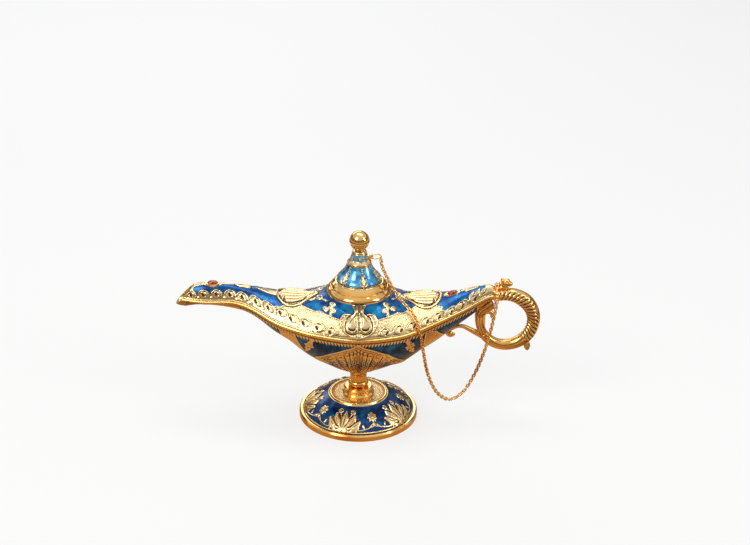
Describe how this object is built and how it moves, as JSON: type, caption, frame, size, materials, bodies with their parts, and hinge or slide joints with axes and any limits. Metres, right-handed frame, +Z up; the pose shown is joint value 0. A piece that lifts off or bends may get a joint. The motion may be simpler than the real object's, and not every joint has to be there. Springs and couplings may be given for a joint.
{
  "type": "genie oil lamp",
  "caption": "Footed oil lamp in gilt cast metal and blue enamel, with a spout, a ring handle and a lift-off domed lid held by a chain.",
  "frame": {"origin": "centre of the foot's rest face", "axes": "+X towards the handle, -X towards the spout, -Y the front, +Z up"},
  "size_m": [0.2053, 0.0678, 0.1149],
  "materials": {
    "gold_plate": "polished gilt",
    "chain_wire": "gilt wire",
    "blue_enamel": "glossy enamel",
    "light_blue_enamel": "glossy enamel",
    "red_glass": "polished red glass",
    "steel_hardware": "zinc-plated"
  },
  "bodies": {
    "lamp": {"foot_plate": "gold_plate", "stem_bell": "gold_plate", "stem_column": "gold_plate", "lower_hull": "gold_plate", "upper_shell": "gold_plate", "seam_bead": "gold_plate", "neck_collar": "gold_plate", "palmette_front": "gold_plate", "palmette_back": "gold_plate", "palmette_spout": "gold_plate", "palmette_tail": "gold_plate", "spout_bezel": "gold_plate", "tail_bezel": "gold_plate", "handle_ferrule": "gold_plate", "handle_grip": "gold_plate", "handle_strut": "gold_plate", "handle_tendril": "gold_plate", "strut_curl": "gold_plate", "handle_head": "gold_plate", "handle_tassel": "gold_plate", "foot_washer": "steel_hardware", "stem_bolt": "steel_hardware", "hull_washer": "steel_hardware", "hull_nut": "steel_hardware", "handle_rivet": "steel_hardware", "chain_on_lid": "chain_wire", "chain_hanging": "chain_wire", "chain_neck_loop": "chain_wire", "foot_enamel": "blue_enamel", "spout_gem": "red_glass", "tail_gem": "red_glass"},
    "lid": {"lid_rim": "gold_plate", "lid_spigot": "gold_plate", "lid_cone": "gold_plate", "lid_enamel": "light_blue_enamel", "lid_crown": "gold_plate", "lid_eye": "gold_plate", "finial_seat": "gold_plate", "finial_ball": "gold_plate", "finial_stud": "steel_hardware"},
    "lid_ring": {"lid_ring": "chain_wire"}
  },
  "joints": [
    {"name": "lid_lift", "type": "slide", "parent": "lamp", "child": "lid", "axis": [0, 0, 1], "range_m": [0, 0.015], "deforming": ["chain_on_lid"]},
    {"name": "lid_ring_swing", "type": "hinge", "parent": "lid", "child": "lid_ring", "pos_m": [0.0064, 0, 0.09945], "axis": [0, 1, 0], "range_deg": [-60, 45]}
  ]
}
